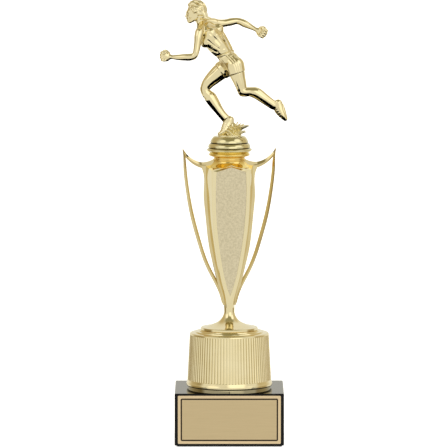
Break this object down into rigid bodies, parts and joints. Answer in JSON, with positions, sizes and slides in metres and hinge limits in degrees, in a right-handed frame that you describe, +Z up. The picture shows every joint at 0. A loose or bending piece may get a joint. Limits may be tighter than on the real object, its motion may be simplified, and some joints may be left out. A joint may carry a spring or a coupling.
{
  "type": "column trophy",
  "caption": "Two-handled column trophy with a running figure, a ribbed riser and a marble block carrying an engraving plate.",
  "frame": {"origin": "centre of the underside of the felt that the trophy stands on, on the axis of the clamping rod", "axes": "+Z up along the rod, the engraving plate faces -Y, the figure runs towards -X"},
  "size_m": [0.1012, 0.0808, 0.3525],
  "materials": {
    "black_marble": "polished",
    "felt": "matt",
    "satin_gold_plate": "brushed",
    "tape": "matt",
    "zinc_steel": "zinc plated",
    "bright_gold": "vacuum metallised",
    "satin_gold": "frosted metallised"
  },
  "bodies": {
    "base": {"felt_base": "felt", "marble_block": "black_marble", "engraving_plate": "satin_gold_plate", "plate_adhesive": "tape", "flat_washer": "zinc_steel"},
    "washer": {"lock_washer": "zinc_steel"},
    "nut": {"hex_nut": "zinc_steel"},
    "riser": {"ribbed_riser": "bright_gold"},
    "column": {"column_foot": "bright_gold", "column_front_shell": "bright_gold", "column_rear_shell": "bright_gold", "front_panel": "satin_gold", "rear_panel": "satin_gold", "left_handle": "bright_gold", "right_handle": "bright_gold", "column_collar": "bright_gold"},
    "figure": {"figure_dome": "bright_gold", "captive_nut": "zinc_steel", "tie_rod": "zinc_steel", "turf_support": "bright_gold", "runner_figure": "bright_gold"}
  },
  "joints": [
    {"name": "riser_turn", "type": "hinge", "parent": "base", "child": "riser", "pos_m": [0, 0, 0.0426], "axis": [0, 0, 1], "continuous": true},
    {"name": "column_turn", "type": "hinge", "parent": "riser", "child": "column", "pos_m": [0, 0, 0.0891], "axis": [0, 0, 1], "continuous": true},
    {"name": "figure_turn", "type": "hinge", "parent": "column", "child": "figure", "pos_m": [0, 0, 0.2321], "axis": [0, 0, 1], "continuous": true},
    {"name": "washer_back_off", "type": "slide", "parent": "base", "child": "washer", "axis": [0, 0, -1], "range_m": [0, 0.00127]},
    {"name": "nut_turn", "type": "hinge", "parent": "washer", "child": "nut", "pos_m": [0, 0, 0.009], "axis": [0, 0, -1], "range_deg": [0, 360]}
  ],
  "couplings": [
    {"joint": "washer_back_off", "follows": "nut_turn", "m_per_rad": 0.00020213}
  ]
}
